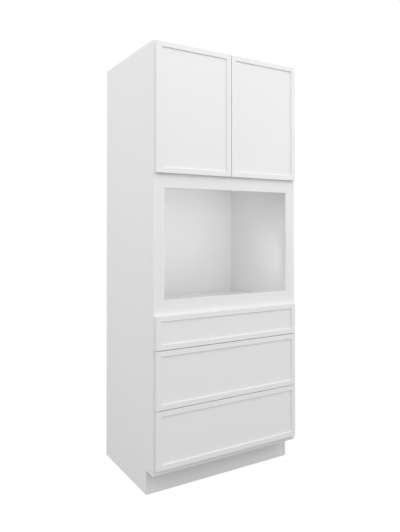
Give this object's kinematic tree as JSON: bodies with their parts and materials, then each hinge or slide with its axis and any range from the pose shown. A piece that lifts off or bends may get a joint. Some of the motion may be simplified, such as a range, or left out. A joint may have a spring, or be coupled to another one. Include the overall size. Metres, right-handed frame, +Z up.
{
  "type": "tall oven housing unit",
  "caption": "Tall white face-frame kitchen cabinet with doors over an open oven cavity, drawers under it and a recessed toe kick.",
  "frame": {"origin": "middle of the bottom of the whole unit's box, on the floor", "axes": "+Z up, the front with its doors and drawers faces -Y, and +X is to the right of someone facing the front"},
  "size_m": [0.8382, 0.6302, 2.1336],
  "materials": {
    "white_paint": "satin white paint on board",
    "white_interior": "white laminate on plywood",
    "maple": "clear lacquer on maple",
    "zinc_steel": "zinc plated",
    "nickel_steel": "nickel plated"
  },
  "bodies": {
    "cabinet": {"left_side_panel": "white_paint", "right_side_panel": "white_paint", "bottom_deck": "white_interior", "oven_deck": "white_interior", "upper_deck": "white_interior", "fixed_shelf": "white_interior", "top_panel": "white_interior", "back_panel": "white_interior", "toe_board": "white_paint", "left_stile": "white_paint", "right_stile": "white_paint", "top_rail": "white_paint", "head_rail": "white_paint", "sill_rail": "white_paint", "upper_dividing_rail": "white_paint", "lower_dividing_rail": "white_paint", "bottom_rail": "white_paint", "left_oven_filler": "white_paint", "right_oven_filler": "white_paint", "left_upper_hinge_arm": "nickel_steel", "left_lower_hinge_arm": "nickel_steel", "right_upper_hinge_arm": "nickel_steel", "right_lower_hinge_arm": "nickel_steel", "upper_drawer_left_outer_rail": "zinc_steel", "upper_drawer_right_outer_rail": "zinc_steel", "middle_drawer_left_outer_rail": "zinc_steel", "middle_drawer_right_outer_rail": "zinc_steel", "lower_drawer_left_outer_rail": "zinc_steel", "lower_drawer_right_outer_rail": "zinc_steel"},
    "left_hinge_links": {"left_upper_hinge_link": "nickel_steel", "left_lower_hinge_link": "nickel_steel"},
    "left_door": {"left_door": "white_paint", "left_upper_hinge_cup": "nickel_steel", "left_lower_hinge_cup": "nickel_steel"},
    "right_hinge_links": {"right_upper_hinge_link": "nickel_steel", "right_lower_hinge_link": "nickel_steel"},
    "right_door": {"right_door": "white_paint", "right_upper_hinge_cup": "nickel_steel", "right_lower_hinge_cup": "nickel_steel"},
    "upper_drawer_centre_rails": {"upper_drawer_left_centre_rail": "zinc_steel", "upper_drawer_right_centre_rail": "zinc_steel"},
    "upper_drawer": {"upper_drawer_front": "white_paint", "upper_drawer_box": "maple", "upper_drawer_bottom": "maple", "upper_drawer_left_inner_rail": "zinc_steel", "upper_drawer_right_inner_rail": "zinc_steel"},
    "middle_drawer_centre_rails": {"middle_drawer_left_centre_rail": "zinc_steel", "middle_drawer_right_centre_rail": "zinc_steel"},
    "middle_drawer": {"middle_drawer_front": "white_paint", "middle_drawer_box": "maple", "middle_drawer_bottom": "maple", "middle_drawer_left_inner_rail": "zinc_steel", "middle_drawer_right_inner_rail": "zinc_steel"},
    "lower_drawer_centre_rails": {"lower_drawer_left_centre_rail": "zinc_steel", "lower_drawer_right_centre_rail": "zinc_steel"},
    "lower_drawer": {"lower_drawer_front": "white_paint", "lower_drawer_box": "maple", "lower_drawer_bottom": "maple", "lower_drawer_left_inner_rail": "zinc_steel", "lower_drawer_right_inner_rail": "zinc_steel"}
  },
  "joints": [
    {"name": "left_hinge_link_swing", "type": "hinge", "parent": "cabinet", "child": "left_hinge_links", "pos_m": [-0.3775, -0.30198, 1.82086], "axis": [0, 0, 1], "range_deg": [0, 47.3]},
    {"name": "left_door_hinge", "type": "hinge", "parent": "left_hinge_links", "child": "left_door", "pos_m": [-0.3995, -0.29768, 1.82086], "axis": [0, 0, -1], "range_deg": [0, 152.25]},
    {"name": "right_hinge_link_swing", "type": "hinge", "parent": "cabinet", "child": "right_hinge_links", "pos_m": [0.3775, -0.30198, 1.82086], "axis": [0, 0, -1], "range_deg": [0, 47.3]},
    {"name": "right_door_hinge", "type": "hinge", "parent": "right_hinge_links", "child": "right_door", "pos_m": [0.3995, -0.29768, 1.82086], "axis": [0, 0, 1], "range_deg": [0, 152.25]},
    {"name": "upper_drawer_slide", "type": "slide", "parent": "cabinet", "child": "upper_drawer", "axis": [0, -1, 0], "range_m": [0, 0.5334]},
    {"name": "upper_drawer_centre_rail_slide", "type": "slide", "parent": "cabinet", "child": "upper_drawer_centre_rails", "axis": [0, -1, 0], "range_m": [0, 0.2668]},
    {"name": "middle_drawer_slide", "type": "slide", "parent": "cabinet", "child": "middle_drawer", "axis": [0, -1, 0], "range_m": [0, 0.5334]},
    {"name": "middle_drawer_centre_rail_slide", "type": "slide", "parent": "cabinet", "child": "middle_drawer_centre_rails", "axis": [0, -1, 0], "range_m": [0, 0.2668]},
    {"name": "lower_drawer_slide", "type": "slide", "parent": "cabinet", "child": "lower_drawer", "axis": [0, -1, 0], "range_m": [0, 0.5334]},
    {"name": "lower_drawer_centre_rail_slide", "type": "slide", "parent": "cabinet", "child": "lower_drawer_centre_rails", "axis": [0, -1, 0], "range_m": [0, 0.2668]}
  ],
  "couplings": [
    {"joint": "left_hinge_link_swing", "follows": "left_door_hinge", "ratio": 0.31034},
    {"joint": "right_hinge_link_swing", "follows": "right_door_hinge", "ratio": 0.31034},
    {"joint": "upper_drawer_centre_rail_slide", "follows": "upper_drawer_slide", "ratio": 0.5},
    {"joint": "middle_drawer_centre_rail_slide", "follows": "middle_drawer_slide", "ratio": 0.5},
    {"joint": "lower_drawer_centre_rail_slide", "follows": "lower_drawer_slide", "ratio": 0.5}
  ]
}
